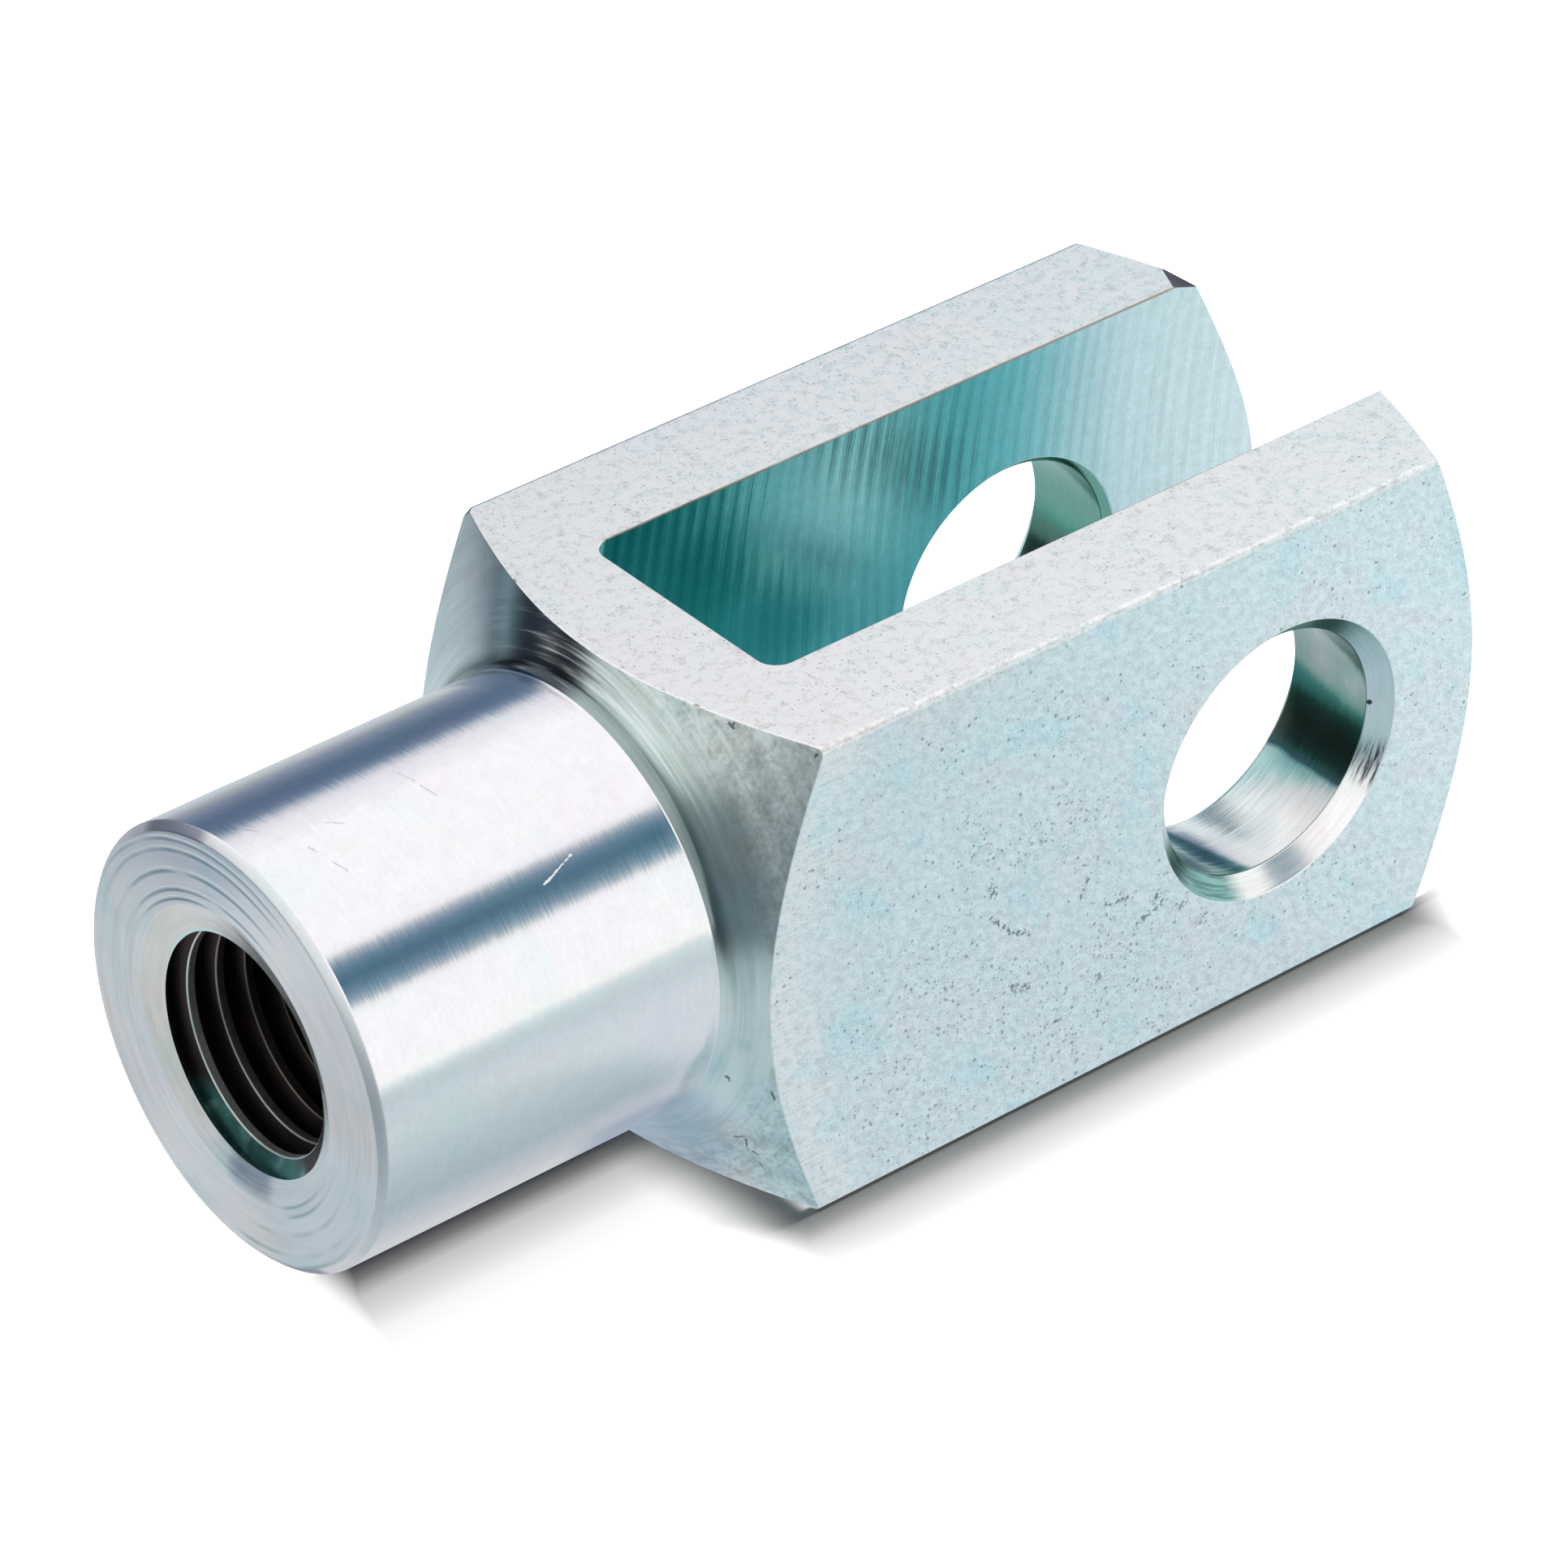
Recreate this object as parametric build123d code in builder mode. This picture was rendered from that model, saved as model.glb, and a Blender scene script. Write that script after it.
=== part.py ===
from build123d import *
import math
import os

# Clevis rod end: one piece of square bar, turned at both ends, slotted to a fork,
# cross-bored for a pin and tapped along its length for a rod.
#
# Frame: the origin is on the pin's axis, midway between the two ears.
# X runs along the rod's axis, from the threaded neck to the tips of the ears.
# Y is the pin's axis. Z is up, and the slot opens upwards and downwards.
# Sizes are in millimetres and angles in degrees.

# Square bar that the piece is cut from
bar_width = 40.0
bar_edge_radius = 0.6

# Neck and shoulder
pin_to_neck_end = 80.0
neck_length = 30.0
neck_diameter = 34.0
neck_end_chamfer = 0.6
neck_root_radius = 1.2
shoulder_cone_angle = 30.0  # lean of the cone back from a square shoulder

# Fork
pin_to_ear_tip = 25.0       # at the slot's walls, where the ears are longest
ear_cone_angle = 30.0       # lean of the cone back from a square end
slot_width = 20.3
pin_to_slot_bottom = 40.0   # at the bar's flats, where the slot is shallowest
slot_corner_radius = 1.6
slot_cutter_radius = 100.0  # the bottom keeps the curve of a disc cutter's rim

# Pin bore
pin_bore_diameter = 20.0
pin_bore_outer_chamfer = 1.5
pin_bore_inner_chamfer = 0.6

# Rod thread, held in the solid as its plain minor bore
thread_diameter = 20.0
thread_pitch = 2.5
thread_mouth_diameter = 22.0
thread_mouth_depth = 0.85

# Sizes that follow from those above
bar_half = bar_width / 2
bar_half_diagonal = bar_half * math.sqrt(2)
neck_radius = neck_diameter / 2
neck_end_x = -pin_to_neck_end
shoulder_x = neck_end_x + neck_length
shoulder_slope = math.tan(math.radians(shoulder_cone_angle))
ear_slope = math.tan(math.radians(ear_cone_angle))
slot_half = slot_width / 2
pin_bore_radius = pin_bore_diameter / 2

# Where the turned cones reach the bar's corners and the rod's axis
shoulder_corner_x = shoulder_x + shoulder_slope * (bar_half_diagonal - neck_radius)
ear_corner_x = pin_to_ear_tip - ear_slope * (bar_half_diagonal - slot_half)
ear_apex_x = pin_to_ear_tip + ear_slope * slot_half

# The disc cutter's centre, with its rim meeting the flats at the slot's stated depth
slot_cutter_x = math.sqrt(slot_cutter_radius**2 - bar_half**2) - pin_to_slot_bottom

# Minor diameter of an ISO metric thread with 60 degree flanks
thread_depth_ratio = 5 / 8 * math.sqrt(3) / 2
thread_minor_radius = thread_diameter / 2 - thread_depth_ratio * thread_pitch


def circles(edges, radius, axis):
    """The circular edges of one radius that run round an axis, in order along it."""
    round_edges = edges.filter_by(GeomType.CIRCLE)
    same_radius = round_edges.filter_by(lambda edge: math.isclose(edge.radius, radius, abs_tol=1e-4))
    return same_radius.filter_by(lambda edge: abs(edge.normal().dot(axis.direction)) > 0.999).sort_by(axis)


with BuildPart() as fork_head:
    # A length of drawn square bar, with its four long edges just softened
    with BuildSketch(Plane.YZ.offset(neck_end_x)):
        RectangleRounded(bar_width, bar_width, bar_edge_radius)
    extrude(amount=ear_apex_x - neck_end_x)

    # The lathe leaves what lies inside this profile: the neck with its end chamfer,
    # the shoulder's cone, the full bar, and the cone across the ears' tips
    with BuildSketch(Plane.XZ) as turned_profile:
        with BuildLine():
            Polyline(
                (neck_end_x, 0),
                (neck_end_x, neck_radius - neck_end_chamfer),
                (neck_end_x + neck_end_chamfer, neck_radius),
                (shoulder_x, neck_radius),
                (shoulder_corner_x, bar_half_diagonal),
                (ear_corner_x, bar_half_diagonal),
                (ear_apex_x, 0),
                close=True,
            )
        make_face()
        neck_root = turned_profile.vertices().sort_by_distance((shoulder_x, 0, neck_radius))[0]
        fillet(neck_root, neck_root_radius)
    revolve(axis=Axis.X, mode=Mode.INTERSECT)

    # The slot is the path of one disc cutter, and its bottom corners follow the teeth's
    with BuildSketch(Plane.XZ):
        with Locations((slot_cutter_x, 0)):
            Circle(slot_cutter_radius)
    extrude(amount=slot_half, both=True, mode=Mode.SUBTRACT)
    slot_corners = circles(fork_head.edges(), slot_cutter_radius, Axis.Y)
    fillet(slot_corners, slot_corner_radius)

    # The pin's bore crosses both ears and is chamfered on all four faces
    with BuildSketch(Plane.XZ):
        Circle(pin_bore_radius)
    extrude(amount=bar_half, both=True, mode=Mode.SUBTRACT)
    bore_rims = circles(fork_head.edges(), pin_bore_radius, Axis.Y)
    chamfer(bore_rims[1:-1], pin_bore_inner_chamfer)
    chamfer([bore_rims[0], bore_rims[-1]], pin_bore_outer_chamfer)

    # The rod's bore runs from the neck's end face into the slot, with a countersunk mouth
    with BuildSketch(Plane.XZ):
        with BuildLine():
            Polyline(
                (neck_end_x, 0),
                (neck_end_x, thread_mouth_diameter / 2),
                (neck_end_x + thread_mouth_depth, thread_minor_radius),
                (-pin_to_slot_bottom, thread_minor_radius),
                (-pin_to_slot_bottom, 0),
                close=True,
            )
        make_face()
    revolve(axis=Axis.X, mode=Mode.SUBTRACT)

fork_head.part.label = "fork_head"

os.makedirs("parts", exist_ok=True)
export_step(fork_head.part, "parts/fork_head.step")
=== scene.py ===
import math

import bpy
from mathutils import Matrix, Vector


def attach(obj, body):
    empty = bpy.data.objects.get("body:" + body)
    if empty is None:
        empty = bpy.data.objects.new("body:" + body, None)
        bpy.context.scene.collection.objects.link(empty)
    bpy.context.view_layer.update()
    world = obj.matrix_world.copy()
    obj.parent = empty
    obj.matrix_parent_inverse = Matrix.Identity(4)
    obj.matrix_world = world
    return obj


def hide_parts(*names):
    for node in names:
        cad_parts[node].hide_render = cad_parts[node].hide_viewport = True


# A clevis rod end in blue-passivated zinc: a square bar turned down to a tapped neck,
# slotted into a fork and bored across for its pin. Everything is in metres, in the
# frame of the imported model: X along the rod, Y along the pin, Z up.

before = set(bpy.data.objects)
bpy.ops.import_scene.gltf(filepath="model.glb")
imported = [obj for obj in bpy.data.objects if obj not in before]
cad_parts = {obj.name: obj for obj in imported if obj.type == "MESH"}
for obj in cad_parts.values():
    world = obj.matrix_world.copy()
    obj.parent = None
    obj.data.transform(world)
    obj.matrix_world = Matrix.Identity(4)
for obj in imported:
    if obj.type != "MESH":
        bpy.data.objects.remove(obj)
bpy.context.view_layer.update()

MM = 0.001
ORIGIN = (0.0, 0.0, 0.0)
ROD_AXIS = (1, 0, 0)
PIN_AXIS = (0, 1, 0)

# ---------------- sizes

# Square bar
BAR_HALF = 20.0 * MM
BAR_EDGE_RADIUS = 0.6 * MM
BAR_WASTE = 20 * MM                # how much longer the bar is before it is turned

# Neck and shoulder
NECK_END_X = -80.0 * MM
SHOULDER_X = -50.0 * MM
NECK_RADIUS = 17.0 * MM
NECK_END_CHAMFER = 0.6 * MM
NECK_ROOT_RADIUS = 1.2 * MM
CONE_ANGLE = math.radians(30)      # lean of both turned cones from square

# Fork
EAR_TIP_X = 25.0 * MM
SLOT_HALF = 10.15 * MM
SLOT_BOTTOM_X = -40.0 * MM
SLOT_CORNER_RADIUS = 1.6 * MM
SLOT_CUTTER_RADIUS = 100.0 * MM
RIPPLE_PITCH = 1.4 * MM            # the cutter's feed for each turn

# Pin bore
PIN_RADIUS = 10.0 * MM
PIN_OUTER_CHAMFER = 1.5 * MM
PIN_INNER_CHAMFER = 0.6 * MM

# Rod thread
THREAD_RADIUS = 10.0 * MM
THREAD_PITCH = 2.5 * MM
THREAD_MINOR_RADIUS = THREAD_RADIUS - 5 / 8 * math.sqrt(3) / 2 * THREAD_PITCH
THREAD_FLANK = math.radians(30)
THREAD_TURNS = 18
MOUTH_RADIUS = 11.0 * MM
MOUTH_DEPTH = 0.85 * MM
FIRST_CREST_X = NECK_END_X + 2.8 * MM   # where the first crest passes the +Y side

# Edges are broken this much by deburring and plating
EDGE_BREAK = 0.12 * MM

# Steps round each turned or bored surface, and across each rounded edge
TURNED_STEPS = 380
BORED_STEPS = 256
CUTTER_STEPS = 720
TAP_STEPS = 90
ROUNDING_STEPS = 8
BREAK_STEPS = 3

SHARP_ANGLE = math.radians(28)     # an edge sharper than this has its burr taken off
SMOOTH_ANGLE = math.radians(18)    # an edge flatter than this is shaded smooth
OVERRUN = 1 * MM                   # how far a cutter starts outside the metal

SLOT_CUTTER_X = SLOT_BOTTOM_X + math.sqrt(SLOT_CUTTER_RADIUS**2 - BAR_HALF**2)
FLOOR_Z = -BAR_HALF

SKIN_BUMP = 0.02 * MM
GROOVE_BUMP = -0.04 * MM
NODE_SPACING = 180


# ---------------- workshop helpers

def edit_mesh(select=None, by=None):
    """Goes into edit mode and selects everything or nothing, or leaves it as chosen."""
    bpy.ops.object.mode_set(mode="EDIT")
    if by:
        bpy.ops.mesh.select_mode(type=by)
    if select:
        bpy.ops.mesh.select_all(action=select)


def leave_mesh():
    bpy.ops.object.mode_set(mode="OBJECT")


def work_on(piece):
    """Makes the piece the only selected and active object."""
    bpy.ops.object.select_all(action="DESELECT")
    piece.select_set(True)
    bpy.context.view_layer.objects.active = piece


def settled(name):
    """The object just added, named, with its place, turn and size put into its mesh."""
    piece = bpy.context.object
    piece.name = name
    work_on(piece)
    bpy.ops.object.transform_apply(location=True, rotation=True, scale=True)
    return piece


def turn_solid(name, stations, axis, steps):
    """A solid turned about the X or Y axis: a disc drawn out from station to station.
    Each station is (place along the axis, radius)."""
    about_rod = axis == "X"
    along = Vector(ROD_AXIS if about_rod else PIN_AXIS)
    place, radius = stations[0]
    bpy.ops.mesh.primitive_circle_add(
        vertices=steps, radius=radius, fill_type="NGON", location=along * place,
        rotation=(0, math.pi / 2, 0) if about_rod else (math.pi / 2, 0, 0),
    )
    piece = settled(name)
    edit_mesh("SELECT")
    for next_place, next_radius in stations[1:]:
        bpy.ops.mesh.extrude_region_move(
            TRANSFORM_OT_translate={"value": along * (next_place - place)}
        )
        ratio = next_radius / radius
        size = (1, ratio, ratio) if about_rod else (ratio, 1, ratio)
        bpy.ops.transform.resize(value=size, center_override=along * next_place)
        place, radius = next_place, next_radius
    bpy.ops.mesh.select_all(action="SELECT")
    bpy.ops.mesh.normals_make_consistent(inside=False)
    leave_mesh()
    return piece


def round_edges(piece, wanted, radius):
    """Rounds the edges for which wanted(one end, other end) is true."""
    edit_mesh("DESELECT", by="EDGE")
    leave_mesh()
    points = [v.co for v in piece.data.vertices]
    for edge in piece.data.edges:
        a, b = edge.vertices
        edge.select = wanted(points[a], points[b])
    edit_mesh()
    bpy.ops.mesh.bevel(offset=radius, segments=ROUNDING_STEPS)
    leave_mesh()


def combine(piece, tool, operation):
    """Cuts or keeps the piece by the tool. The cut faces take the tool's finish."""
    work_on(piece)
    step = piece.modifiers.new(tool.name, "BOOLEAN")
    step.object = tool
    step.operation = operation
    step.solver = "EXACT"
    step.material_mode = "TRANSFER"
    bpy.ops.object.modifier_apply(modifier=step.name)
    bpy.data.objects.remove(tool)


def finish_with(piece, material, wanted=lambda face: True):
    """Gives the wanted faces of the piece a finish."""
    piece.data.materials.append(material)
    index = len(piece.data.materials) - 1
    for face in piece.data.polygons:
        if wanted(face):
            face.material_index = index


# ---------------- node helpers

SOCKET_KINDS = {"VALUE": "NodeSocketFloat", "VECTOR": "NodeSocketVector", "RGBA": "NodeSocketColor"}


class Wiring:
    """Adds and joins the nodes of one tree."""

    def __init__(self, tree):
        self.tree = tree
        self.column = 0

    def add(self, kind, inputs=None, **settings):
        node = self.tree.nodes.new(kind)
        self.column += 1
        node.location = (self.column * NODE_SPACING, 0)
        for key, value in settings.items():
            setattr(node, key, value)
        for key, value in (inputs or {}).items():
            self.feed(node.inputs[key], value)
        return node

    def feed(self, socket, value):
        if isinstance(value, bpy.types.NodeSocket):
            self.tree.links.new(value, socket)
        elif socket.type == "RGBA" and len(value) == 3:
            socket.default_value = (*value, 1)
        else:
            socket.default_value = value

    def math(self, operation, *values, clamp=False):
        node = self.add("ShaderNodeMath", operation=operation, use_clamp=clamp)
        for socket, value in zip(node.inputs, values):
            self.feed(socket, value)
        return node.outputs[0]

    def plus(self, a, b):
        return self.math("ADD", a, b)

    def minus(self, a, b):
        return self.math("SUBTRACT", a, b)

    def over(self, a, b):
        return self.math("DIVIDE", a, b)

    def times(self, first, *others):
        for other in others:
            first = self.math("MULTIPLY", first, other)
        return first

    def most(self, first, *others):
        for other in others:
            first = self.math("MAXIMUM", first, other)
        return first

    def vector(self, operation, *values):
        node = self.add("ShaderNodeVectorMath", operation=operation)
        for socket, value in zip(node.inputs, values):
            self.feed(socket, value)
        single = operation in ("LENGTH", "DOT_PRODUCT", "DISTANCE")
        return node.outputs["Value" if single else "Vector"]

    def dot(self, a, b):
        return self.vector("DOT_PRODUCT", a, b)

    def unit(self, vector):
        return self.vector("NORMALIZE", vector)

    def scaled(self, vector, gain):
        node = self.add("ShaderNodeVectorMath", operation="SCALE")
        self.feed(node.inputs[0], vector)
        self.feed(node.inputs["Scale"], gain)
        return node.outputs[0]

    def split(self, vector):
        return self.add("ShaderNodeSeparateXYZ", {"Vector": vector}).outputs

    def join(self, x, y, z):
        return self.add("ShaderNodeCombineXYZ", {"X": x, "Y": y, "Z": z}).outputs[0]

    def radius(self, place):
        """The distance from the rod's axis."""
        return self.vector("LENGTH", self.vector("MULTIPLY", place, (0, 1, 1)))

    def bearing(self, place):
        """The direction straight out from the rod's axis."""
        return self.unit(self.vector("MULTIPLY", place, (0, 1, 1)))

    def ramp(self, value, low, high, out_low=0.0, out_high=1.0, smooth=True):
        node = self.add("ShaderNodeMapRange", {
            "Value": value, "From Min": low, "From Max": high,
            "To Min": out_low, "To Max": out_high,
        })
        node.interpolation_type = "SMOOTHSTEP" if smooth else "LINEAR"
        return node.outputs["Result"]

    def ramp_mm(self, value, low, high, *out):
        """A ramp between two places given in millimetres."""
        return self.ramp(value, low * MM, high * MM, *out)

    def graded(self, value, stops, unit=1.0):
        """Colours in steps along a value: a list of (value in the unit, colour)."""
        low, high = stops[0][0] * unit, stops[-1][0] * unit
        node = self.add("ShaderNodeValToRGB")
        self.feed(node.inputs["Fac"], self.ramp(value, low, high, smooth=False))
        for _ in stops[2:]:
            node.color_ramp.elements.new(0.5)
        for element, (at, colour) in zip(node.color_ramp.elements, stops):
            element.position = (at * unit - low) / (high - low)
            element.color = (*colour, 1)
        return node.outputs["Color"]

    def mix(self, factor, a, b, blend="MIX"):
        node = self.add("ShaderNodeMix", data_type="RGBA", blend_type=blend)
        self.feed(node.inputs["Factor"], factor)
        self.feed(node.inputs[6], a)
        self.feed(node.inputs[7], b)
        return node.outputs[2]

    def shaded(self, colour, tone, strength):
        """The colour made lighter or darker by a tone about 0."""
        return self.scaled(colour, self.plus(self.times(tone, strength), 1.0))

    def stained(self, colour, *stains):
        """The colour multiplied by each tint where its mask is: stains are (mask, tint)."""
        for mask, tint in stains:
            colour = self.mix(mask, colour, self.mix(1.0, colour, tint, "MULTIPLY"))
        return colour

    def noise(self, vector, scale, detail=2.0, roughness=0.5, distortion=0.0, output="Fac"):
        return self.add("ShaderNodeTexNoise", {
            "Vector": vector, "Scale": scale, "Detail": detail, "Roughness": roughness,
            "Distortion": distortion,
        }).outputs[output]

    def swing(self, *noise):
        """Noise about 0."""
        return self.minus(self.noise(*noise), 0.5)

    def group(self, group, **values):
        node = self.add("ShaderNodeGroup", node_tree=group)
        for key, value in values.items():
            self.feed(node.inputs[key.replace("_", " ")], value)
        return node.outputs

    def give(self, **outputs):
        """Ends a node group with its named outputs."""
        for label, value in outputs.items():
            self.tree.interface.new_socket(
                label, in_out="OUTPUT", socket_type=SOCKET_KINDS[value.type]
            )
        self.add("NodeGroupOutput", outputs)
        return self.tree


def new_group(name, **inputs):
    """A shader node group's wiring and its inputs. A starting value of one, three or four
    numbers makes a float, a vector or a colour."""
    group = bpy.data.node_groups.new(name, "ShaderNodeTree")
    for label, value in inputs.items():
        kind = "VALUE" if isinstance(value, float) else {3: "VECTOR", 4: "RGBA"}[len(value)]
        socket = group.interface.new_socket(
            label.replace("_", " "), in_out="INPUT", socket_type=SOCKET_KINDS[kind]
        )
        socket.default_value = value
    w = Wiring(group)
    return w, w.add("NodeGroupInput").outputs


# ---------------- effects

def make_film_tint():
    """The passivation film: a base colour that drifts to two other tints in soft clouds."""
    w, source = new_group(
        "film tint", Vector=ORIGIN, Base=(0.75, 0.78, 0.8, 1), First_Tint=(0.6, 0.8, 0.82, 1),
        Second_Tint=(0.8, 0.76, 0.8, 1), Amount=0.5, Scale=90.0,
    )
    colour = source["Base"]
    shifted = w.vector("ADD", source["Vector"], (0.31, -0.17, 0.23))
    for place, tint in ((source["Vector"], "First Tint"), (shifted, "Second Tint")):
        cloud = w.ramp(w.noise(place, source["Scale"], 3.0, 0.55), 0.5, 0.72)
        colour = w.mix(w.times(cloud, source["Amount"]), colour, source[tint])
    return w.give(Color=colour)


def make_grain():
    """Fine mottle of the etched and plated skin: a value about 0 and a height."""
    w, source = new_group("plating grain", Vector=ORIGIN, Scale=1800.0, Coarse_Scale=500.0)
    fine = w.noise(source["Vector"], source["Scale"], 3.0, 0.6)
    coarse = w.noise(source["Vector"], source["Coarse Scale"], 3.0, 0.6, 0.4)
    tone = w.plus(w.minus(fine, 0.5), w.minus(coarse, 0.5))
    return w.give(Tone=tone, Height=w.plus(fine, coarse))


def make_pits():
    """Small ragged pits: a mask that is 1 in a pit. Density is the share of cells that
    hold one."""
    w, source = new_group("plating pits", Vector=ORIGIN, Spacing=0.6 * MM, Size=0.2, Density=0.3)
    place = w.scaled(source["Vector"], w.over(1.0, source["Spacing"]))
    wobble = w.vector("SUBTRACT", w.noise(place, 2.2, output="Color"), (0.5, 0.5, 0.5))
    place = w.vector("ADD", place, w.scaled(wobble, 0.55))
    cells = w.add("ShaderNodeTexVoronoi", {"Vector": place, "Scale": 1.0}).outputs
    chance = w.add("ShaderNodeSeparateColor", {"Color": cells["Color"]}).outputs
    held = w.ramp(w.minus(source["Density"], chance[0]), 0.0, 0.02)
    reach = w.times(source["Size"], w.plus(chance[1], 0.45))
    inside = w.ramp(w.minus(reach, cells["Distance"]), -0.04, 0.08)
    return w.give(Mask=w.times(held, inside))


def make_ringed_normal():
    """Rings cut about the rod's axis: the normal leans out and in from ring to ring, and the
    rings fade and break round the work."""
    w, source = new_group(
        "ringed normal", Vector=ORIGIN, Normal=ORIGIN, Pitch=0.2 * MM, Broken=2.0,
        Lean=0.1, Broad_Lean=0.1,
    )
    radius = w.radius(source["Vector"])
    outward = w.bearing(source["Vector"])
    steps = w.over(radius, source["Pitch"])
    slow = w.scaled(outward, source["Broken"])
    fine_place = w.vector("ADD", slow, w.scaled(ROD_AXIS, steps))
    broad_place = w.vector("ADD", slow, w.scaled(ROD_AXIS, w.times(steps, 0.22)))
    fine = w.swing(fine_place, 1.0, 3.0, 0.65)
    broad = w.swing(broad_place, 1.0, 2.0, 0.55)
    lean = w.plus(w.times(fine, source["Lean"]), w.times(broad, source["Broad Lean"]))
    leaned = w.vector("ADD", source["Normal"], w.scaled(outward, lean))
    return w.give(
        Normal=w.unit(leaned), Tone=w.plus(fine, broad), Radius=radius
    )


def make_cutter_ripples():
    """Arcs that a disc cutter leaves on the slot's walls, one for each step of its feed."""
    w, source = new_group(
        "cutter ripples", Vector=ORIGIN, Pitch=RIPPLE_PITCH, Cutter_Radius=SLOT_CUTTER_RADIUS
    )
    x, y, z = w.split(source["Vector"])
    squared = w.minus(w.math("POWER", source["Cutter Radius"], 2.0), w.times(z, z))
    sag = w.minus(source["Cutter Radius"], w.math("SQRT", squared))
    feed = w.over(w.minus(x, sag), source["Pitch"])
    side = w.times(y, 200.0)
    across = w.times(z, 60.0)
    drift = w.noise(w.join(feed, side, across), 0.8)
    phase = w.times(w.plus(feed, w.times(drift, 0.35)), 2 * math.pi)
    streak = w.swing(w.join(w.times(feed, 7.0), side, across), 1.0, 3.0, 0.65)
    return w.give(Wave=w.math("SINE", phase), Streak=streak)


def make_streaked_normal():
    """Fine drawn streaks that lean a mirror-like surface round its axis and along it."""
    w, source = new_group(
        "streaked normal", Vector=ORIGIN, Normal=ORIGIN, Axis=ROD_AXIS, Pitch=0.2 * MM,
        Broken=60.0, Round_Lean=0.03, Along_Lean=0.03,
    )
    axis = source["Axis"]
    steps = w.over(w.dot(source["Vector"], axis), source["Pitch"])
    slow = w.scaled(source["Vector"], source["Broken"])
    place = w.vector("ADD", slow, w.scaled(axis, steps))
    first = w.swing(place, 1.0, 3.0, 0.6)
    second = w.swing(w.vector("ADD", place, (17.3, 5.1, 9.7)), 1.0, 3.0, 0.6)
    tangent = w.unit(w.vector("CROSS_PRODUCT", axis, source["Normal"]))
    round_lean = w.scaled(tangent, w.times(first, source["Round Lean"]))
    along_lean = w.scaled(axis, w.times(second, source["Along Lean"]))
    leaned = w.vector("ADD", w.vector("ADD", source["Normal"], round_lean), along_lean)
    return w.give(Normal=w.unit(leaned), Tone=first)


def make_stroke():
    """One scratch or gouge from a start to an end, broken up along its length: 1 inside it."""
    w, source = new_group(
        "stroke", Vector=ORIGIN, Start=ORIGIN, End=ORIGIN, Width=0.2 * MM, Rag=0.0
    )
    span = w.vector("SUBTRACT", source["End"], source["Start"])
    reach = w.vector("SUBTRACT", source["Vector"], source["Start"])
    squared = w.most(w.dot(span, span), 1e-10)
    along = w.math("DIVIDE", w.dot(reach, span), squared, clamp=True)
    gap = w.vector("LENGTH", w.vector("SUBTRACT", reach, w.scaled(span, along)))
    ratio = w.plus(w.over(gap, source["Width"]), source["Rag"])
    return w.give(Mask=w.ramp(ratio, 0.7, 0.3))


FILM_TINT = make_film_tint()
GRAIN = make_grain()
PITS = make_pits()
RINGED_NORMAL = make_ringed_normal()
CUTTER_RIPPLES = make_cutter_ripples()
STREAKED_NORMAL = make_streaked_normal()
STROKE = make_stroke()


# ---------------- finishes

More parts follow.
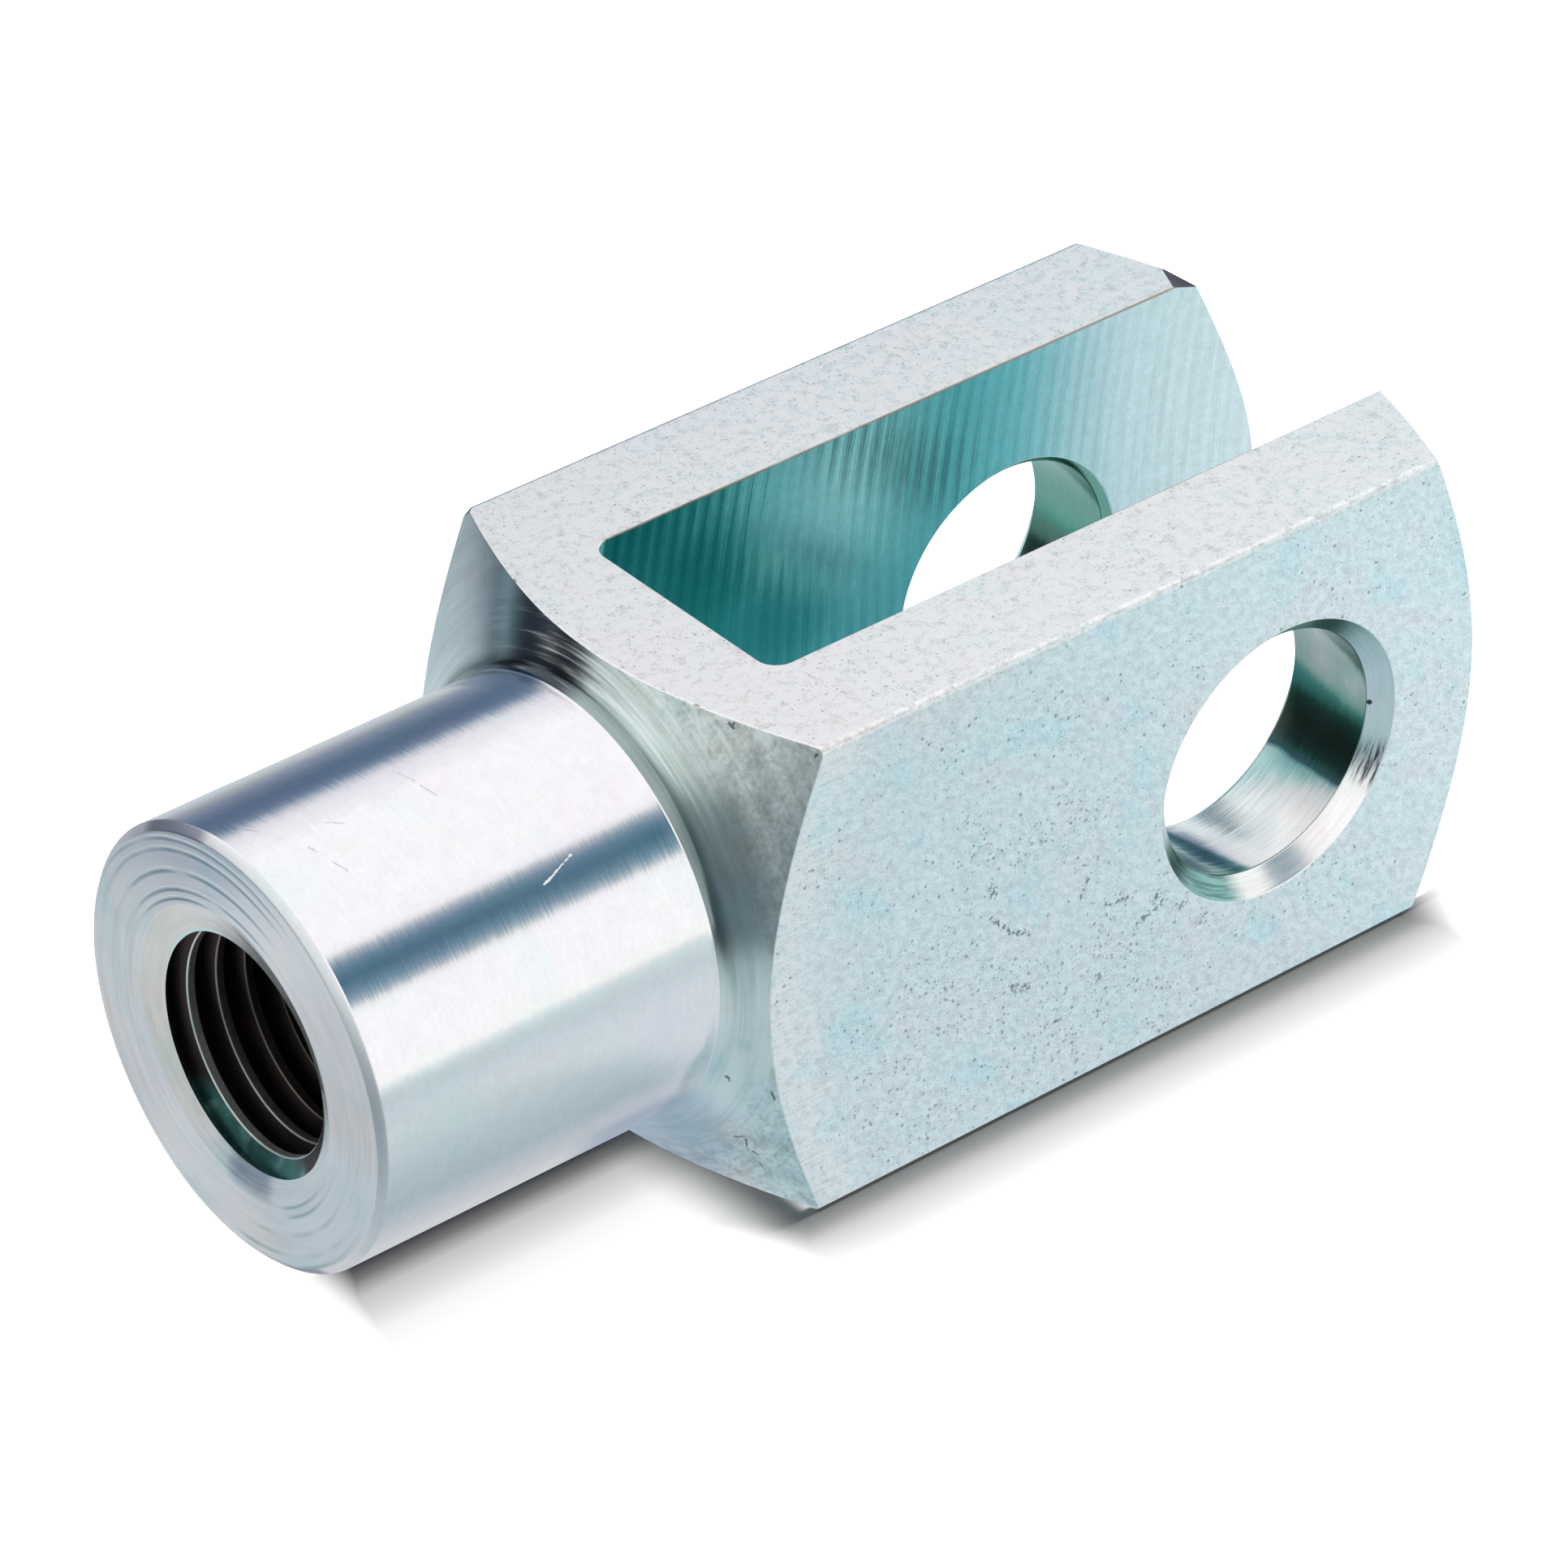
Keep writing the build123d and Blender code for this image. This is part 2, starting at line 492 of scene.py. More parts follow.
class Finish(Wiring):
    """A metal's shader and the effects that feed it. Pits, streaks, strokes and patches are
    sized in millimetres."""

    def __init__(self, name, roughness):
        self.material = bpy.data.materials.new(name)
        self.material.use_nodes = True
        super().__init__(self.material.node_tree)
        self.shader = self.tree.nodes["Principled BSDF"].inputs
        self.shader["Metallic"].default_value = 1.0
        self.shader["Roughness"].default_value = roughness
        self.place = self.add("ShaderNodeTexCoord").outputs["Object"]

    def finished(self, colour, **others):
        """Feeds the shader, and gives back the material."""
        self.feed(self.shader["Base Color"], colour)
        for key, value in others.items():
            self.feed(self.shader[key], value)
        return self.material

    def true_normal(self):
        return self.add("ShaderNodeNewGeometry").outputs["Normal"]

    def film(self, base, first, second, amount, scale, place=None):
        """The passivation film over a base colour."""
        return self.group(
            FILM_TINT, Vector=place or self.place, Base=base, First_Tint=first,
            Second_Tint=second, Amount=amount, Scale=scale,
        )["Color"]

    def grained(self, colour, scale, coarse_scale, strength):
        """The colour mottled by the plating's grain."""
        grain = self.group(GRAIN, Vector=self.place, Scale=scale, Coarse_Scale=coarse_scale)
        return self.shaded(colour, grain["Tone"], strength)

    def pits(self, spacing, size, density):
        return self.group(
            PITS, Vector=self.place, Spacing=spacing * MM, Size=size, Density=density
        )["Mask"]

    def streaks(self, axis, pitch, round_lean, along_lean):
        return self.group(
            STREAKED_NORMAL, Vector=self.place, Normal=self.true_normal(), Axis=axis,
            Pitch=pitch * MM, Broken=300.0, Round_Lean=round_lean, Along_Lean=along_lean,
        )

    def bumped(self, height, strength, depth=SKIN_BUMP, normal=None):
        inputs = {"Height": height, "Distance": depth, "Strength": strength}
        if normal is not None:
            inputs["Normal"] = normal
        return self.add("ShaderNodeBump", inputs).outputs["Normal"]

    def marked(self, strokes):
        """One mask for a list of ragged strokes: (start, end, width)."""
        rag = self.times(self.swing(self.place, 3600.0, 2.0, 0.6), 2.4)
        return self.most(*[
            self.group(
                STROKE, Vector=self.place, Start=Vector(start) * MM, End=Vector(end) * MM,
                Width=width * MM, Rag=rag,
            )["Mask"]
            for start, end, width in strokes
        ])

    def patch(self, centre, reach, full, *out):
        """A round mask about a centre, full within one distance and gone past another."""
        gap = self.vector("DISTANCE", self.place, Vector(centre) * MM)
        return self.ramp_mm(gap, reach, full, *out)

    def fan(self, angle, low, high, *out):
        """A mask by how far a point's bearing about the rod's axis lies along an angle: 1 on
        it and opposite, 0 square to it. The angle is in degrees from -Y toward +Z."""
        aim = (0, -math.cos(math.radians(angle)), math.sin(math.radians(angle)))
        along = self.dot(self.bearing(self.place), aim)
        return self.ramp(self.times(along, along), low, high, *out)


# Gouges in the near flat, at y = -20: (x, z) to (x, z) and width
NEAR_FLAT_GOUGES = [
    ((-28.0, 1.4), (-27.6, 0.5), 0.6),
    ((-27.8, -1.4), (-26.2, -3.2), 0.4),
    ((-26.0, -3.5), (-24.2, -4.4), 0.4),
    ((-18.7, -2.3), (-19.2, -3.5), 0.48),
    ((-16.8, -5.2), (-14.8, -5.6), 0.4),
    ((-11.4, -6.4), (-12.0, -6.9), 0.56),
    ((-11.2, -7.5), (-13.8, -8.3), 0.4),
    ((-25.7, -8.4), (-25.6, -8.5), 0.72),
    ((-24.5, -9.0), (-24.4, -9.1), 0.8),
    ((-17.2, -11.4), (-17.0, -11.5), 0.72),
    ((-23.4, -15.2), (-23.3, -15.3), 0.6),
    ((-21.2, -13.6), (-21.1, -13.6), 0.6),
    ((-9.0, -8.4), (-9.4, -8.7), 0.5),
]

PIT_COLOUR = (0.20, 0.27, 0.28)


def start_bar_skin(name, base, first_tint, second_tint, tint_scale, grain_strength, slant):
    """The bar's drawn flats under zinc: pale, mottled and finely pitted. The speckle is
    pressed together along a slant by the amount given."""
    w = Finish(name, 0.42)
    rising = (0.707, 0, 0.707)
    slid = w.times(w.dot(w.place, rising), slant)
    pressed = w.vector("ADD", w.place, w.scaled(rising, slid))
    colour = w.film(base, first_tint, second_tint, 0.75, tint_scale, pressed)
    grain = w.group(GRAIN, Vector=pressed, Scale=4200.0, Coarse_Scale=1100.0)
    colour = w.shaded(colour, grain["Tone"], grain_strength)
    cluster = w.ramp(w.noise(pressed, 120.0), 0.38, 0.70, 0.05, 0.5)
    # painted shade: the bar's long rounded edges are darkened a little, to tone down the highlight
    # they catch
    _, y, z = w.split(w.place)
    shaded_rounded_edges = [
        w.ramp(part, BAR_HALF - BAR_EDGE_RADIUS * 1.2, BAR_HALF - BAR_EDGE_RADIUS * 0.6)
        for part in (w.math("ABSOLUTE", y), z)
    ]
    colour = w.stained(colour, (w.times(*shaded_rounded_edges), (0.90, 0.90, 0.91)))
    return w, colour, grain["Height"], cluster


def make_bar_top():
    """The upper flat: bright and evenly speckled, with faint rust in the speckle."""
    w, colour, height, cluster = start_bar_skin(
        "bar_top", (0.97, 1.0, 1.0), (0.88, 1.0, 0.99), (1.0, 0.98, 0.98), 230.0, 0.85, 0.0
    )
    # the film is a little greener on the far ear and on the tips, and warmer at the shoulder
    x, y, _ = w.split(w.place)
    colour = w.stained(
        colour,
        (w.ramp_mm(y, -8, 12), (0.97, 1.0, 1.0)),
        (w.ramp_mm(x, -25, -42), (1.06, 1.01, 1.0)),
        (w.ramp_mm(x, -8, 14), (0.96, 1.0, 1.0)),
    )
    rust = w.times(w.ramp(w.noise(w.place, 900.0), 0.60, 0.68), 0.16)
    colour = w.mix(rust, colour, (0.50, 0.38, 0.30))
    pits = w.pits(0.36, 0.22, cluster)
    colour = w.mix(w.times(pits, 0.5), colour, PIT_COLOUR)
    return w.finished(colour, Normal=w.bumped(w.minus(height, pits), 0.4))


def make_bar_side():
    """The other flats: a cooler film, pits in clusters, gouges low on the near flat, and the
    lathe's drag lines where the shoulder cuts in."""
    w, colour, height, cluster = start_bar_skin(
        "bar_side", (0.805, 0.905, 0.92), (0.66, 0.89, 0.93), (0.85, 0.87, 0.89),
        150.0, 0.68, 0.45,
    )
    density = w.times(cluster, w.patch((-22, -20, -9), 30, 8, 0.7, 2.2))
    fine = w.pits(0.34, 0.28, density)
    large = w.pits(0.62, 0.20, w.times(density, 0.55))
    flat = -BAR_HALF / MM
    gouges = w.marked([
        ((a[0], flat, a[1]), (b[0], flat, b[1]), width) for a, b, width in NEAR_FLAT_GOUGES
    ])
    gouges = w.times(gouges, w.ramp(w.noise(w.place, 2400.0, 1.0), 0.44, 0.56))
    pits = w.most(w.times(fine, 0.58), w.times(large, 0.7), w.times(gouges, 0.9))
    colour = w.mix(pits, colour, PIT_COLOUR)
    # drag lines run with the rod beside the shoulder
    rise = w.times(w.minus(w.radius(w.place), NECK_RADIUS), math.tan(CONE_ANGLE))
    beside = w.ramp_mm(w.minus(w.split(w.place)["X"], w.plus(SHOULDER_X, rise)), 6, 1)
    drag = w.swing(w.vector("MULTIPLY", w.place, (110, 3400, 3400)), 1.0, 2.0, 0.6)
    colour = w.shaded(colour, w.times(drag, beside), 0.55)
    colour = w.stained(colour, (beside, (1.14, 1.06, 1.05)))
    height = w.minus(height, w.times(pits, 2.5))
    return w.finished(colour, Normal=w.bumped(height, 0.3))


# A bright scratch on the neck's near side, and fine nicks in its upper side: start, end
# and width
NECK_SCRATCH = [((-61.6, -11.7, 12.3), (-58.6, -10.9, 13.05), 0.13)]
NECK_NICKS = [
    ((-65.3, 0.3, 17.0), (-64.9, -1.5, 16.93), 0.10),
    ((-64.8, -2.2, 16.86), (-64.5, -3.5, 16.64), 0.12),
    ((-75.1, -3.0, 16.73), (-74.9, -3.6, 16.6), 0.16),
    ((-74.5, -4.9, 16.28), (-74.0, -6.0, 15.9), 0.12),
    ((-72.6, -1.6, 16.92), (-71.6, -2.4, 16.83), 0.09),
    ((-77.9, 1.9, 16.9), (-76.9, 0.4, 17.0), 0.10),
]


def make_turned_neck():
    """The neck, turned bright, with fine streaks round it."""
    w = Finish("turned_neck", 0.14)
    streaks = w.streaks(ROD_AXIS, 0.13, 0.05, 0.06)
    colour = w.film((0.94, 0.925, 0.955), (0.86, 0.94, 0.94), (0.93, 0.89, 0.95), 0.7, 130.0)
    colour = w.shaded(colour, streaks["Tone"], 0.14)
    colour = w.grained(colour, 2600.0, 700.0, 0.12)
    colour = w.mix(w.times(w.marked(NECK_NICKS), 0.40), colour, (0.25, 0.27, 0.34))
    scratch = w.marked(NECK_SCRATCH)
    colour = w.mix(scratch, colour, (1, 1, 1))
    # the bevel round the end is rougher, with a painted dark reflection at its top far side
    x = w.split(w.place)["X"]
    bevel = w.ramp(x, NECK_END_X + NECK_END_CHAMFER * 1.2, NECK_END_X + NECK_END_CHAMFER * 0.9)
    colour = w.stained(colour, (w.times(w.fan(112, 0.93, 0.975), bevel), (0.42, 0.44, 0.52)))
    roughness = w.plus(w.ramp(scratch, 0.0, 1.0, 0.14, 0.6), w.times(bevel, 0.30))
    return w.finished(colour, Roughness=roughness, Normal=streaks["Normal"])


def start_turned_face(name, base, roughness, lean, streak):
    """What faces and cones turned across the work share: rings about the rod's axis."""
    w = Finish(name, roughness)
    rings = w.group(
        RINGED_NORMAL, Vector=w.place, Normal=w.true_normal(), Pitch=0.22 * MM,
        Broken=2.2, Lean=lean, Broad_Lean=lean * 0.65,
    )
    colour = w.film(base, (0.60, 0.76, 0.76), (0.84, 0.78, 0.74), 0.6, 160.0)
    return w, rings, w.shaded(colour, rings["Tone"], streak)


def make_turned_end(grooves):
    """The neck's end face and its countersink. Grooves are (radius, width) in millimetres,
    where the tool dug deeper; they are cut about a centre a little off the axis."""
    w, rings, colour = start_turned_face("turned_end", (0.81, 0.81, 0.815), 0.22, 0.14, 0.24)
    bearing = w.bearing(w.place)
    # painted highlights: the rings are lighter in two fans where they would catch the light, and
    # the face is lighter toward the upper far side
    colour = w.shaded(colour, w.fan(75, 0.6, 1.0), 0.15)
    colour = w.shaded(colour, w.dot(bearing, (0, 0.64, 0.77)), 0.10)
    # painted reflections: bluer on the lower near side, and a dark spot at the bottom just outside
    # the countersink
    blue = w.ramp(w.dot(bearing, (0, -0.77, -0.64)), 0.70, 0.95)
    low = w.ramp(w.dot(bearing, (0, -0.12, -0.99)), 0.955, 0.99)
    spot = w.times(low, w.ramp_mm(rings["Radius"], 12.2, 11.0))
    groove_radius = w.radius(w.vector("SUBTRACT", w.place, (0, 0.4 * MM, -0.4 * MM)))
    depth = w.most(*[
        w.ramp_mm(w.math("ABSOLUTE", w.minus(groove_radius, at * MM)), width, 0)
        for at, width in grooves
    ])
    broken = w.ramp(w.noise(w.place, 130.0), 0.38, 0.6)
    depth = w.times(depth, broken, w.fan(112, 0.35, 0.9, 0.15, 1.0))
    # the countersink: warmer on the far side, with a painted highlight along its inner rim
    radius = w.radius(w.place)
    inside = w.ramp(radius, MOUTH_RADIUS, MOUTH_RADIUS - 0.3 * MM)
    warm = w.times(inside, w.ramp_mm(w.split(w.place)["Y"], 0, 6))
    colour = w.stained(
        colour,
        (blue, (1.01, 1.09, 1.14)),
        (spot, (0.52, 0.60, 0.66)),
        (depth, (0.52, 0.64, 0.65)),
        (warm, (1.0, 0.97, 0.90)),
    )
    painted_rim_highlight = w.ramp(radius, THREAD_MINOR_RADIUS + 0.35 * MM, THREAD_MINOR_RADIUS + 0.1 * MM)
    colour = w.mix(painted_rim_highlight, colour, (0.80, 0.96, 0.93))
    return w.finished(colour, Normal=w.bumped(depth, 1.0, GROOVE_BUMP, rings["Normal"]))


# Dents and chips in the shoulder's cone: start, end and width
SHOULDER_DENTS = [
    ((-46.2, -13.1, 19.6), (-46.1, -13.3, 19.6), 0.34),
    ((-43.9, -19.5, 19.5), (-43.85, -19.5, 19.0), 0.30),
    ((-47.8, -15.5, -13.8), (-47.5, -16.4, -13.4), 0.16),
    ((-47.5, -16.4, -13.4), (-47.2, -16.2, -14.8), 0.14),
    ((-47.2, -16.2, -14.8), (-46.7, -16.9, -15.2), 0.16),
    ((-46.7, -16.6, -15.9), (-46.1, -16.8, -16.8), 0.14),
    ((-49.4, -16.6, -7.2), (-49.3, -16.8, -7.5), 0.24),
    ((-47.7, -19.5, -7.6), (-47.6, -19.6, -8.3), 0.22),
]


def make_turned_shoulder():
    """The shoulder's cone: ringed and bright beside the neck, torn and duller toward the
    corners."""
    w, rings, colour = start_turned_face("turned_shoulder", (0.93, 0.99, 0.98), 0.18, 0.14, 0.45)
    _, y, z = w.split(w.place)
    radius = rings["Radius"]
    torn = w.times(w.ramp_mm(radius, 18.2, 22.5), w.ramp_mm(y, 4, -6))
    colour = w.grained(colour, 2600.0, 800.0, w.times(torn, 0.9))
    # painted shade and reflections: the far side is darker, and two sectors of the near side are
    # darkened, one greyer and one bluer
    far_side_shade = w.ramp_mm(y, 5, 11)
    near_side_shade = w.ramp_mm(y, 2, -4)
    # painted shade: the root against the neck is darkened, most on the upper near side
    root = w.times(w.ramp_mm(radius, 18.4, 17.3), w.ramp_mm(z, -2, 6))
    # painted dark reflection: a patch on top is darkened where the cone would mirror something dark
    dark_reflection_patch = w.times(
        w.fan(102, 0.91, 0.985), w.ramp_mm(z, 0, 4), w.ramp(rings["Tone"], 0.35, 0.05)
    )
    colour = w.stained(
        colour,
        (torn, (0.95, 0.93, 0.92)),
        (far_side_shade, (0.82, 0.90, 0.93)),
        (w.times(near_side_shade, w.fan(32, 0.86, 0.97)), (0.72, 0.73, 0.76)),
        (w.times(near_side_shade, w.fan(-34, 0.86, 0.97)), (0.86, 0.96, 1.0)),
        (root, (0.36, 0.42, 0.42)),
        (dark_reflection_patch, (0.22, 0.22, 0.27)),
    )
    colour = w.mix(w.times(w.marked(SHOULDER_DENTS), 0.8), colour, (0.10, 0.10, 0.12))
    roughness = w.plus(w.times(torn, 0.24), 0.17)
    return w.finished(colour, Roughness=roughness, Normal=rings["Normal"])


def make_milled_slot():
    """The slot's walls: a teal film, painted darker toward the slot's bottom as shade and pale at
    the mouth, with painted reflections on the far wall and the cutter's arcs.
    """
    w = Finish("milled_slot", 0.17)
    # painted shade: the teal darkens toward the slot's bottom and pales toward the mouth
    colour = w.graded(w.split(w.place)["X"], [
        (-42, (0.10, 0.41, 0.39)), (-28, (0.11, 0.44, 0.425)),
        (-18, (0.22, 0.54, 0.55)), (-6, (0.15, 0.51, 0.525)),
        (0, (0.22, 0.575, 0.60)), (6, (0.44, 0.68, 0.70)),
        (12, (0.61, 0.78, 0.79)), (26, (0.76, 0.87, 0.885)),
    ], MM)
    # painted reflections on the far wall: a bright patch near its top and two darker patches lower
    # down
    colour = w.stained(
        colour,
        (w.patch((-12, 10, 17.5), 8, 1), (1.75, 1.45, 1.45)),
        (w.patch((-29, 10, 13), 6, 2), (0.55, 0.80, 0.78)),
        (w.patch((-21, 10, 7), 6, 2), (0.62, 0.80, 0.80)),
    )
    ripples = w.group(CUTTER_RIPPLES, Vector=w.place)
    colour = w.shaded(colour, ripples["Wave"], 0.035)
    colour = w.shaded(colour, ripples["Streak"], 0.35)
    colour = w.grained(colour, 3600.0, 900.0, 0.25)
    height = w.plus(ripples["Wave"], w.times(ripples["Streak"], 2.0))
    return w.finished(colour, Normal=w.bumped(height, 0.35))


def make_bored_pin_hole(name, heights, roughness, green_edge, green_slant, green_blur, dullness):
    """The pin's bore or its chamfers: a film under painted reflections and shade, whose
    colours change with height, streaked round. Low down it turns green past an edge, given as
    the edge's X at y = -18.4 mm and how far it slants and blurs. The far ear is greener all
    over. Dullness is how chalky the film is in the painted dark band and just below it."""
    w = Finish(name, roughness)
    streaks = w.streaks(PIN_AXIS, 0.20, 0.08, 0.10)
    x, y, z = w.split(w.place)
    height = w.plus(z, w.times(w.swing(w.place, 400.0), 0.5 * MM))
    colour = w.graded(height, heights, MM)
    tinted = w.film(colour, (0.50, 0.70, 0.70), (0.78, 0.66, 0.72), 0.30, 150.0)
    red = w.add("ShaderNodeSeparateColor", {"Color": colour}).outputs[0]
    colour = w.mix(w.ramp(red, 0.12, 0.26), colour, tinted)
    # greener low down toward the neck, and all over the far ear
    along = w.plus(x, w.times(w.plus(y, 18.4 * MM), green_slant))
    low = w.ramp_mm(along, green_edge + green_blur, green_edge - green_blur)
    low = w.times(low, w.ramp_mm(z, -2, -5))
    streaky = w.ramp(streaks["Tone"], -0.12, 0.12)
    green = w.mix(streaky, (0.05, 0.22, 0.22), (0.18, 0.46, 0.43))
    colour = w.mix(w.times(low, 0.9), colour, green)
    colour = w.stained(colour, (w.ramp_mm(y, -5, 5), (0.62, 0.98, 0.90)))
    # where the drill dragged through the near chamfer, and a dark spot beside it
    dragged = w.times(
        w.patch((10.1, -19.5, -5.0), 2.6, 0.8), w.ramp(streaks["Tone"], -0.05, 0.04)
    )
    colour = w.mix(w.times(dragged, 0.92), colour, (0.05, 0.045, 0.08))
    colour = w.mix(w.patch((10.15, -18.65, 0.13), 0.28, 0.16), colour, (0.04, 0.06, 0.06))
    colour = w.shaded(colour, streaks["Tone"], 0.35)
    below = w.times(w.ramp_mm(height, -6.2, -6.8), w.ramp_mm(height, -9.4, -7.2, 0.3, 1.0))
    band = w.times(w.ramp_mm(height, -0.6, -2.2), w.ramp_mm(height, -6.6, -6.0))
    chalky = w.times(w.most(below, band), dullness, w.minus(1.0, low))
    return w.finished(colour, Metallic=w.minus(1.0, chalky), Normal=streaks["Normal"])


def make_worn_metal(name, base, tint, roughness):
    """Chips and worn edges, where the plating is thin."""
    w = Finish(name, roughness)
    darker = [v * 0.6 for v in base]
    return w.finished(w.film(base, tint, darker, 0.8, 260.0))


def make_thread_crest():
    """The thread's crests: pale at the mouth, browner and darker down the bore."""
    w = Finish("thread_crest", 0.4)
    colour = w.graded(w.split(w.place)["X"], [
        (NECK_END_X + depth * MM, shade) for depth, shade in (
            (1, (0.90, 0.92, 0.90)), (3.6, (0.80, 0.82, 0.80)),
            (5.2, (0.30, 0.27, 0.25)), (8, (0.16, 0.13, 0.12)),
            (11, (0.06, 0.05, 0.05)),
        )
    ])
    return w.finished(w.grained(colour, 3000.0, 900.0, 0.4))


def make_thread_groove():
    """The thread's groove: near black, with a green film on the first turn low down."""
    w = Finish("thread_groove", 0.35)
    x, _, z = w.split(w.place)
    near_mouth = w.ramp(x, NECK_END_X + 3.2 * MM, NECK_END_X + 1.4 * MM)
    low = w.ramp_mm(z, -6.3, -7.8)
    dark_film = w.film((0.07, 0.052, 0.052), (0.12, 0.07, 0.07), (0.05, 0.05, 0.06), 0.8, 260.0)
    green = w.film((0.10, 0.27, 0.25), (0.32, 0.60, 0.56), (0.05, 0.16, 0.18), 0.9, 420.0)
    return w.finished(w.mix(w.times(near_mouth, low), dark_film, green))


BAR_TOP = make_bar_top()
BAR_SIDE = make_bar_side()
TURNED_NECK = make_turned_neck()
TURNED_FACE = make_turned_end([(11.6, 0.22), (12.3, 0.25), (13.7, 0.3), (15.3, 0.3), (16.1, 0.25)])
TURNED_SHOULDER = make_turned_shoulder()
MILLED_SLOT = make_milled_slot()
# painted reflections and shade: the bore is white low down and dark above, and the chamfers are
# white low down and darker toward the top
BORED_PIN_HOLE = make_bored_pin_hole("bored_pin_hole", [
    (-12.0, (0.98, 0.99, 1.0)), (-6.7, (0.98, 1.0, 1.0)),
    (-6.4, (0.15, 0.18, 0.22)), (-5.6, (0.20, 0.28, 0.25)),
    (-2.6, (0.22, 0.36, 0.29)), (-1.2, (0.18, 0.38, 0.33)),
    (0.2, (0.30, 0.44, 0.40)), (12.0, (0.31, 0.43, 0.40)),
], 0.17, -1.0, 0.29, 0.45, 0.4)
PIN_CHAMFER = make_bored_pin_hole("pin_chamfer", [
    (-12.0, (1.0, 0.99, 0.97)), (-6.0, (0.96, 0.97, 0.97)),
    (-3.0, (0.60, 0.72, 0.74)), (3.0, (0.55, 0.67, 0.70)),
    (7.5, (0.34, 0.52, 0.52)), (10.0, (0.14, 0.33, 0.30)),
    (12.0, (0.12, 0.30, 0.27)),
], 0.24, -3.3, 0.0, 1.1, 0.0)
THREAD_CREST = make_thread_crest()
THREAD_GROOVE = make_thread_groove()
BARE_CHIP = make_worn_metal("bare_chip", (0.13, 0.12, 0.15), (0.20, 0.20, 0.22), 0.4)
WORN_EDGE = make_worn_metal("worn_edge", (0.46, 0.40, 0.33), (0.60, 0.62, 0.58), 0.35)


# ---------------- the fork head

def make_square_bar():
    """The drawn bar, a little longer than the finished work."""
    length = EAR_TIP_X - NECK_END_X + BAR_WASTE
    bpy.ops.mesh.primitive_cube_add(
        size=1, location=((EAR_TIP_X + NECK_END_X) / 2, 0, 0),
        scale=(length, 2 * BAR_HALF, 2 * BAR_HALF),
    )
    bar = settled("fork_head_dressed")
    round_edges(bar, lambda a, b: abs(a.x - b.x) > length / 2, BAR_EDGE_RADIUS)
    upward = 0.6
    finish_with(bar, BAR_TOP, lambda face: face.normal.z > upward)
    finish_with(bar, BAR_SIDE, lambda face: face.normal.z <= upward)
    return bar


def neck_root_stations():
    """The neck's root radius, from the neck's side to the shoulder's cone."""
    # the cone leaves the neck at this angle to the rod's axis
    lead = math.pi / 2 - CONE_ANGLE
    trim = NECK_ROOT_RADIUS * math.tan(lead / 2)
    centre_x = SHOULDER_X - trim
    centre_r = NECK_RADIUS + NECK_ROOT_RADIUS
    turns = [lead * i / ROUNDING_STEPS for i in range(ROUNDING_STEPS + 1)]
    return [
        (
            centre_x + NECK_ROOT_RADIUS * math.sin(turn),
            centre_r - NECK_ROOT_RADIUS * math.cos(turn),
        )
        for turn in turns
    ]


def make_turned_envelope():
    """What the lathe leaves: neck, shoulder cone and the cone across the ears' tips."""
    slope = math.tan(CONE_ANGLE)
    wide = BAR_HALF * 1.6
    narrow = 1 * MM
    stations = [
        (NECK_END_X, NECK_RADIUS - NECK_END_CHAMFER),
        (NECK_END_X + NECK_END_CHAMFER, NECK_RADIUS),
        *neck_root_stations(),
        (SHOULDER_X + slope * (wide - NECK_RADIUS), wide),
        (EAR_TIP_X - slope * (wide - SLOT_HALF), wide),
        (EAR_TIP_X + slope * (SLOT_HALF - narrow), narrow),
    ]
    envelope = turn_solid("turned_envelope", stations, "X", TURNED_STEPS)
    root_x = SHOULDER_X - 1.5 * MM
    finish_with(envelope, TURNED_NECK, lambda face: face.center.x < root_x)
    finish_with(
        envelope, TURNED_SHOULDER,
        lambda face: face.center.x >= root_x and abs(face.normal.x) > 0.3,
    )
    end_x = NECK_END_X + NECK_END_CHAMFER / 4
    finish_with(envelope, TURNED_FACE, lambda face: face.center.x < end_x)
    return envelope


def make_slot_cutter():
    """The disc cutter, with the rounded corners of its teeth."""
    bpy.ops.mesh.primitive_cylinder_add(
        vertices=CUTTER_STEPS, radius=SLOT_CUTTER_RADIUS, depth=2 * SLOT_HALF,
        location=(SLOT_CUTTER_X, 0, 0), rotation=(math.pi / 2, 0, 0),
    )
    cutter = settled("slot_cutter")
    round_edges(cutter, lambda a, b: abs(a.y - b.y) < SLOT_HALF / 10, SLOT_CORNER_RADIUS)
    finish_with(cutter, MILLED_SLOT)
    return cutter


def make_pin_bore_cutter():
    """The pin's bore with the chamfers on the ears' four faces."""
    outer, inner = BAR_HALF, SLOT_HALF
    r, wide, small = PIN_RADIUS, PIN_OUTER_CHAMFER, PIN_INNER_CHAMFER
    half = [
        (inner, r + small),
        (inner + small, r),
        (outer - wide, r),
        (outer + OVERRUN, r + wide + OVERRUN),
    ]
    stations = [(-y, radius) for y, radius in reversed(half)] + half
    cutter = turn_solid("pin_bore_cutter", stations, "Y", BORED_STEPS)
    finish_with(cutter, BORED_PIN_HOLE)
    finish_with(cutter, PIN_CHAMFER, lambda face: abs(face.center.y) > outer - wide)
    return cutter


def make_rod_bore_cutter():
    """The tapping drill, with the countersink at the neck's end."""
    slope = (MOUTH_RADIUS - THREAD_MINOR_RADIUS) / MOUTH_DEPTH
    stations = [
        (NECK_END_X - OVERRUN, MOUTH_RADIUS + OVERRUN * slope),
        (NECK_END_X + MOUTH_DEPTH, THREAD_MINOR_RADIUS),
        (SLOT_BOTTOM_X + 10 * MM, THREAD_MINOR_RADIUS),
    ]
    cutter = turn_solid("rod_bore_cutter", stations, "X", BORED_STEPS)
    finish_with(cutter, THREAD_CREST)
    finish_with(cutter, TURNED_FACE, lambda face: face.center.x < NECK_END_X + MOUTH_DEPTH)
    return cutter


